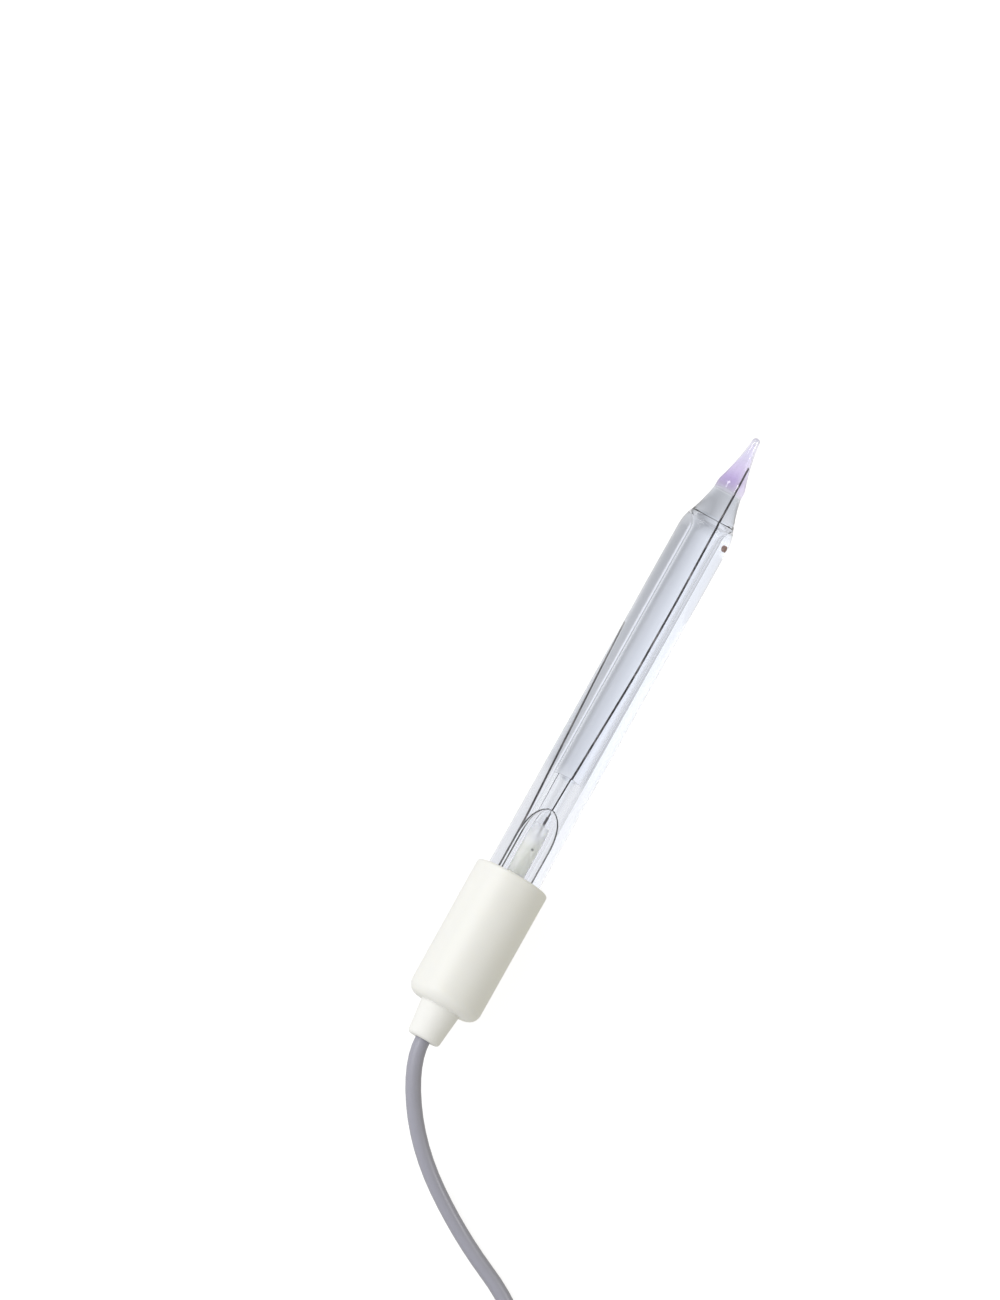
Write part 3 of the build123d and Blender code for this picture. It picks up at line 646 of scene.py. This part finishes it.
def plated(name, colour, roughness, scale=9000.0, relief=0.000004):
    """A metal of one colour with the shared turning lines in its gloss and surface height."""
    material = bpy.data.materials.new(name)
    material.use_nodes = True
    tree = material.node_tree
    shader = tree.nodes["Principled BSDF"]
    shader.inputs["Base Color"].default_value = (*colour, 1)
    shader.inputs["Metallic"].default_value = 1.0
    texture = tree.nodes.new("ShaderNodeGroup")
    texture.node_tree = turned
    texture.inputs["Scale"].default_value = scale
    texture.inputs["Roughness"].default_value = roughness
    bump = tree.nodes.new("ShaderNodeBump")
    bump.inputs["Distance"].default_value = relief
    link(tree, texture, "Roughness", shader, "Roughness")
    link(tree, texture, "Height", bump, "Height")
    link(tree, bump, "Normal", shader, "Normal")
    return material


core_white, _, _ = grained("core_white", core_colour, 0.5, spread=0.05, scale=1200.0)
soldered_sleeve = plated("soldered_sleeve", solder_grey, 0.4, scale=4000.0)
copper_strands = plated("copper_strands", copper_red, 0.35, scale=6000.0)
dress("cable_core", core_white)
dress("core_joint", soldered_sleeve)
dress("shield_joint", soldered_sleeve)
dress("shield_tail", copper_strands)

# Cable: one metre of slim coaxial lead in a smooth grey jacket. It bends down to the floor past the relief,
# and its spare length is wound flat, inwards in one layer and out again in the next, on the way to the plug.
# The spline runs a little inside its points, so the points of the coil's turns stand out by that share.
cable_length, cable_diameter = 1.0, 0.0033
free_run = [
    (0.0, -60.19, 8.91), (0.0, -67.89, 9.11), (0.02, -78.63, 8.5), (9.9, -93.3, 5.3), (26.0, -104.5, 2.2),
    (43.3, -112.2, 1.65), (53.7, -124.5, 1.65), (57.0, -140.0, 1.9), (54.5, -154.3, 2.25),
]
tail_run = [(55.4, -159.0, 5.6), (54.6, -170.0, 6.4), (45.5, -185.0, 7.2), (23.5, -185.0, 7.2)]
coil_middle, coil_start = np.array([31.0, -151.0]), np.radians(-8.0)
coil_outer, coil_inner, coil_low, coil_high = 23.7, 13.1, 2.25, 5.6
inward_turns, climb_turns, all_turns, points_a_turn = 3.2, 0.55, 6.98, 16
spline_pull = 0.981
turns = np.arange(1, int(all_turns * points_a_turn) + 1) / points_a_turn
coil_angle = coil_start - 2 * np.pi * turns
lane = np.interp(
    turns,
    [0, inward_turns, inward_turns + climb_turns, all_turns],
    [coil_outer, coil_inner, coil_inner, coil_outer],
) / spline_pull
layer = np.interp(turns, [inward_turns, inward_turns + climb_turns], [coil_low, coil_high])
coil_run = np.column_stack([
    coil_middle[0] + lane * np.cos(coil_angle), coil_middle[1] + lane * np.sin(coil_angle), layer,
])
route = millimetre * np.vstack([free_run, coil_run, tail_run])
jacket_grey = (0.355, 0.355, 0.415)
jacket, _, _ = grained("grey_jacket", jacket_grey, 0.34, spread=0.05, scale=350.0, relief=0.000006)
cable_line = bpy.data.curves.new("grey_cable", "CURVE")
cable_line.dimensions = "3D"
cable_line.bevel_depth = cable_diameter / 2
cable_line.bevel_resolution = 6
cable_line.use_fill_caps = True
strand = cable_line.splines.new("NURBS")
strand.points.add(len(route) - 1)
strand.points.foreach_set("co", np.column_stack([route, np.ones(len(route))]).ravel())
strand.order_u = 3
strand.use_endpoint_u = True
strand.resolution_u = 6
grey_cable = bpy.data.objects.new("grey_cable", cable_line)
bpy.context.scene.collection.objects.link(grey_cable)
finish_piece(grey_cable, jacket, ["cable", "cable_coil", "cable_tail"])

# Coil tie: a narrow strap of dark twill, wrapped once round all the turns of the coil and pressed onto
# itself. Its weave runs in slanting ribs.
tie_x, tie_y, tie_low, tie_high = 12.6, -151.0, 0.05, 7.9
tie_half, tie_round, tie_width, tie_thickness = 7.6, 1.6, 6.0, 0.5
loop_steps = 96
loop_turn = np.linspace(0, 2 * np.pi, loop_steps + 1)[:-1]


def strap_loop(inset):
    """A rounded box round the coil's section: four quarter circles about the corners of a smaller box."""
    corner_x = np.sign(np.cos(loop_turn)) * (tie_half - tie_round)
    corner_z = np.sign(np.sin(loop_turn)) * ((tie_high - tie_low) / 2 - tie_round)
    reach = tie_round - inset
    loop_x = corner_x + reach * np.cos(loop_turn)
    loop_z = corner_z + reach * np.sin(loop_turn) + (tie_high + tie_low) / 2
    return loop_x, loop_z


loop_rows = []
edge_out, edge_back = -tie_width / 2, tie_width / 2
for inset, edge_y in ((0, edge_out), (0, edge_back), (tie_thickness, edge_back), (tie_thickness, edge_out)):
    loop_x, loop_z = strap_loop(inset)
    loop_rows.append(np.stack([tie_x + loop_x, np.full(loop_steps, tie_y + edge_y), loop_z], -1))
woven_tie = skin("woven_tie", np.array(loop_rows), lambda points: millimetre * points, closed=True)
dark_thread, pale_thread = (0.025, 0.025, 0.028), (0.1, 0.1, 0.108)
strap, tree, texture = grained("woven_strap", dark_thread, 0.85, spread=0.5, scale=900.0, relief=0.00012)
where = tree.nodes.new("ShaderNodeTexCoord")
twill = tree.nodes.new("ShaderNodeTexWave")
twill.bands_direction = "DIAGONAL"
twill.inputs["Scale"].default_value = 520.0
twill.inputs["Distortion"].default_value = 0.4
link(tree, where, "Object", twill, "Vector")
threads = mixed(tree, twill, "Fac", A=dark_thread, B=pale_thread)
link(tree, threads, "Result", texture, "Color")
finish_piece(woven_tie, strap, ["coil_tie"])

# Plug boot: a tapered sleeve of matt grey rubber with bend ribs and softened ends, slid over the cable and
# the crimped ferrule.
plug_start = np.array([37.5, -185.0, 7.2])


def along_plug(points):
    """Lays points of a piece turned about the plug's axis in place: x across, y up, z away from the cable."""
    x, y, z = points[..., :1], points[..., 1:2], points[..., 2:]
    return millimetre * (plug_start + x * [0, 1, 0] + y * [0, 0, 1] + z * [-1, 0, 0])


boot_length, boot_rear_r, boot_front_r, boot_edge = 17.0, 2.5, 4.0, 0.4
ferrule_at, ferrule_r = 9.0, 2.7
rib_depth, rib_pitch, rib_start, rib_end = 0.35, 1.8, 1.6, 12.4
boot_w = np.linspace(0.0, boot_length, 200)
boot_r = boot_rear_r + (boot_front_r - boot_rear_r) * boot_w / boot_length
ribbed = (boot_w > rib_start) & (boot_w < rib_end)
boot_r = boot_r - np.where(ribbed, rib_depth * np.sin(np.pi * (boot_w - rib_start) / rib_pitch) ** 2, 0)
boot_r = boot_r - boot_edge * np.clip(1 - boot_w / boot_edge, 0, 1) ** 2
boot_r = boot_r - boot_edge * np.clip(1 - (boot_length - boot_w) / boot_edge, 0, 1) ** 2
boot_inside = [
    (ferrule_r + fit, boot_length), (ferrule_r + fit, ferrule_at),
    (cable_r + fit, ferrule_at), (cable_r + fit, 0),
]
boot_outline = np.vstack([np.column_stack([boot_r, boot_w]), boot_inside])
boot_grey = (0.11, 0.11, 0.12)
boot_rubber, _, _ = grained("boot_rubber", boot_grey, 0.7, spread=0.15, scale=700.0)
ribbed_boot = lathe("ribbed_boot", boot_outline, along_plug, columns=round_steps // 2)
finish_piece(ribbed_boot, boot_rubber, ["plug_boot"])

# Bayonet plug: nickel-plated brass body, ferrule, spring ring and fluted nut with two bayonet slots, a gold
# centre pin in a white turned insulator, and a soft gasket. The nut turns on the body's barrel.
nickel_grey, gold_yellow = (0.72, 0.7, 0.66), (0.95, 0.7, 0.3)
insulator_white, gasket_red = (0.86, 0.86, 0.85), (0.35, 0.045, 0.03)
nickel = plated("nickel", nickel_grey, 0.16)
gold = plated("gold", gold_yellow, 0.18)
turned_white, _, _ = grained("turned_white", insulator_white, 0.35, spread=0.03, scale=600.0)
red_rubber, _, _ = grained("red_rubber", gasket_red, 0.7, spread=0.2, scale=900.0)
for metal in ("crimp_ferrule", "plug_body", "retaining_ring", "coupling_nut"):
    dress(metal, nickel)
dress("centre_pin", gold)
dress("plug_insulator", turned_white)
dress("plug_core", core_white)
dress("plug_gasket", red_rubber)

# Camera: it looks down on the lying electrode, turned so that the electrode crosses the frame with its tip up
# and to the right.
turn_left, look_down = np.radians(29.03), np.radians(79.75)
camera_distance = 0.7
to_right = np.array([np.cos(turn_left), np.sin(turn_left), 0.0])
to_top = np.array([-to_right[1], to_right[0], 0.0])
look = np.array([*(np.cos(look_down) * to_top[:2]), -np.sin(look_down)])
aim = np.array([-0.025946, 0.006286, 0.006])
lens = bpy.data.cameras.new("camera")
lens.sensor_fit = "VERTICAL"
lens.sensor_height = 36.0
lens.lens = 91.54
lens.clip_start = 0.01
camera = bpy.data.objects.new("camera", lens)
placing = np.eye(4)
placing[:3, :3] = np.column_stack([to_right, np.cross(to_right, look), -look])
placing[:3, 3] = aim - camera_distance * look
camera.matrix_world = placing.T.tolist()
bpy.context.scene.collection.objects.link(camera)
bpy.context.scene.camera = camera

# Table top: plain matt white to the camera, with the electrode's soft shadow on it. To reflections and to
# scattered light it is a little darker and warmer on the side away from the lamp.
table_half = 3.0
white_glow, shadow_grey = 0.8, (0.35, 0.35, 0.35)
near_lamp, off_lamp, falloff_half = (0.8, 0.8, 0.79), (0.62, 0.6, 0.52), 0.04
corners = table_half * np.array([(-1, -1, 0), (1, -1, 0), (1, 1, 0), (-1, 1, 0)])
table_mesh = bpy.data.meshes.new("table")
table_mesh.from_pydata(corners.tolist(), [], [(0, 1, 2, 3)])
table = bpy.data.objects.new("table", table_mesh)
bpy.context.scene.collection.objects.link(table)
table_white = bpy.data.materials.new("table_white")
table_white.use_nodes = True
tree = table_white.node_tree
tree.nodes.remove(tree.nodes["Principled BSDF"])
seen = tree.nodes.new("ShaderNodeLightPath")
where = tree.nodes.new("ShaderNodeTexCoord")
parts = tree.nodes.new("ShaderNodeSeparateXYZ")
link(tree, where, "Object", parts, 0)
sideways = between(tree, parts, "X", -falloff_half, falloff_half)
falloff = mixed(tree, sideways, "Result", A=near_lamp, B=off_lamp)
bounced = tree.nodes.new("ShaderNodeEmission")
link(tree, falloff, "Result", bounced, "Color")
glow = tree.nodes.new("ShaderNodeEmission")
glow.inputs["Strength"].default_value = white_glow
matt = tree.nodes.new("ShaderNodeBsdfDiffuse")
matt.inputs["Color"].default_value = (*shadow_grey, 1)
lit = tree.nodes.new("ShaderNodeAddShader")
link(tree, glow, 0, lit, 0)
link(tree, matt, 0, lit, 1)

# The filled tube gathers the lamp's light like a lens, into a streak right of its middle with shade beside
# it. The renderer doesn't trace that light, so rays through the glass meet it on the table. It moves aside
# under the cone, ends at the membrane and is faint past the filling. Places are in metres, and those of the
# stops are shares of the tube's width.
streak_half = 0.006
cone_from, cone_full, cone_aside = 0.0495, 0.0515, -0.0015
cone_end, cone_end_full = 0.0612, 0.0592
unfilled_at, filled_at, unfilled_share = -0.012, -0.008, 0.35
bare_table, left_rim, right_rim = (0.92, 0.925, 0.955), (0.86, 0.88, 0.92), (0.9, 0.91, 0.94)
streak_stops, streak_cast = ((0.317, 0.46), (0.383, 0.65), (0.592, 1.0), (0.833, 0.6)), (0.97, 1.0, 1.08)
aside = between(tree, parts, "Y", cone_from, cone_full, at_high=cone_aside)
shifted = tree.nodes.new("ShaderNodeMath")
shifted.operation = "ADD"
link(tree, parts, "X", shifted, 0)
link(tree, aside, "Result", shifted, 1)
under = between(tree, shifted, 0, -streak_half, streak_half)
gathered = tree.nodes.new("ShaderNodeValToRGB")
gathered.color_ramp.elements[0].color = (*left_rim, 1)
gathered.color_ramp.elements[1].color = (*right_rim, 1)
for at, value in streak_stops:
    gathered.color_ramp.elements.new(at).color = (*(share * value for share in streak_cast), 1)
link(tree, under, "Result", gathered, "Fac")
in_cone = between(tree, parts, "Y", cone_end, cone_end_full)
in_liquid = between(tree, parts, "Y", unfilled_at, filled_at, at_low=unfilled_share)
filled = tree.nodes.new("ShaderNodeMath")
filled.operation = "MULTIPLY"
link(tree, in_cone, "Result", filled, 0)
link(tree, in_liquid, "Result", filled, 1)
streak = mixed(tree, filled, 0, A=bare_table)
link(tree, gathered, "Color", streak, "B")
through = tree.nodes.new("ShaderNodeEmission")
link(tree, streak, "Result", through, "Color")
unseen = tree.nodes.new("ShaderNodeMixShader")
link(tree, seen, "Is Transmission Ray", unseen, 0)
link(tree, bounced, 0, unseen, 1)
link(tree, through, 0, unseen, 2)
choose = tree.nodes.new("ShaderNodeMixShader")
link(tree, seen, "Is Camera Ray", choose, 0)
link(tree, unseen, 0, choose, 1)
link(tree, lit, 0, choose, 2)
link(tree, choose, 0, tree.nodes["Material Output"], "Surface")
table_mesh.materials.append(table_white)

# Room: pale walls that are lighter on the picture's left, where the lamp stands. The camera sees plain white,
# and rays through the glass meet the light wall on every side.
dim_wall, light_wall = (0.56, 0.55, 0.5), (0.82, 0.82, 0.84)
dim_to, light_from = -0.7, 0.8
room = bpy.data.worlds.new("room")
room.use_nodes = True
bpy.context.scene.world = room
tree = room.node_tree
seen = tree.nodes.new("ShaderNodeLightPath")
where = tree.nodes.new("ShaderNodeTexCoord")
leftness = tree.nodes.new("ShaderNodeVectorMath")
leftness.operation = "DOT_PRODUCT"
leftness.inputs[1].default_value = -to_right
link(tree, where, "Generated", leftness, 0)
sideways = between(tree, leftness, "Value", dim_to, light_from)
lighter = tree.nodes.new("ShaderNodeMath")
lighter.operation = "MAXIMUM"
link(tree, sideways, "Result", lighter, 0)
link(tree, seen, "Is Transmission Ray", lighter, 1)
walls = mixed(tree, lighter, 0, A=dim_wall, B=light_wall)
air = tree.nodes["Background"]
link(tree, walls, "Result", air, "Color")
backdrop = tree.nodes.new("ShaderNodeBackground")
backdrop.inputs["Color"].default_value = (1, 1, 1, 1)
choose = tree.nodes.new("ShaderNodeMixShader")
link(tree, seen, "Is Camera Ray", choose, 0)
link(tree, air, 0, choose, 1)
link(tree, backdrop, 0, choose, 2)
link(tree, choose, 0, tree.nodes["World Output"], "Surface")

# Lamps: one large soft box up on the picture's left lights the whole electrode. Two small ones, aimed at the
# membrane from both sides, only give glints on the glass.
lamp_distance = 0.8
main_way, main_size, main_watts = -0.5 * to_right + 0.2 * to_top + np.array([0.0, 0.0, 0.62]), 0.6, 2.5
glint_ways = {"glint_left": (-0.5, 0.436, 0.747), "glint_right": (0.683, 0.427, 0.591)}
glint_target, glint_size, glint_watts = np.array([0.0, 0.062, 0.006]), 0.24, 1.6


def soft_box(name, way, target, size, energy):
    """A square area light at the lamps' distance from its target along the given direction, turned to face
    it: its own z axis points back along that direction, and x and y are square to it."""
    light = bpy.data.lights.new(name, "AREA")
    light.size = size
    light.energy = energy
    made = bpy.data.objects.new(name, light)
    back = np.array(way) / np.linalg.norm(way)
    level = np.cross([0.0, 0.0, 1.0], back)
    level /= np.linalg.norm(level)
    placing = np.eye(4)
    placing[:3, :3] = np.column_stack([level, np.cross(back, level), back])
    placing[:3, 3] = target + lamp_distance * back
    made.matrix_world = placing.T.tolist()
    bpy.context.scene.collection.objects.link(made)
    return made


soft_box("main_light", main_way, np.zeros(3), main_size, main_watts)
for name, way in glint_ways.items():
    glint = soft_box(name, way, glint_target, glint_size, glint_watts)
    glint.visible_diffuse = False
    glint.visible_transmission = False

# Light passes many walls of glass and liquid on its way, so it may bend and pass often.
wall_crossings = 32
scene = bpy.context.scene
scene.view_settings.view_transform = "Standard"
scene.cycles.use_denoising = True
scene.cycles.max_bounces = wall_crossings
scene.cycles.transmission_bounces = wall_crossings
scene.cycles.transparent_max_bounces = wall_crossings
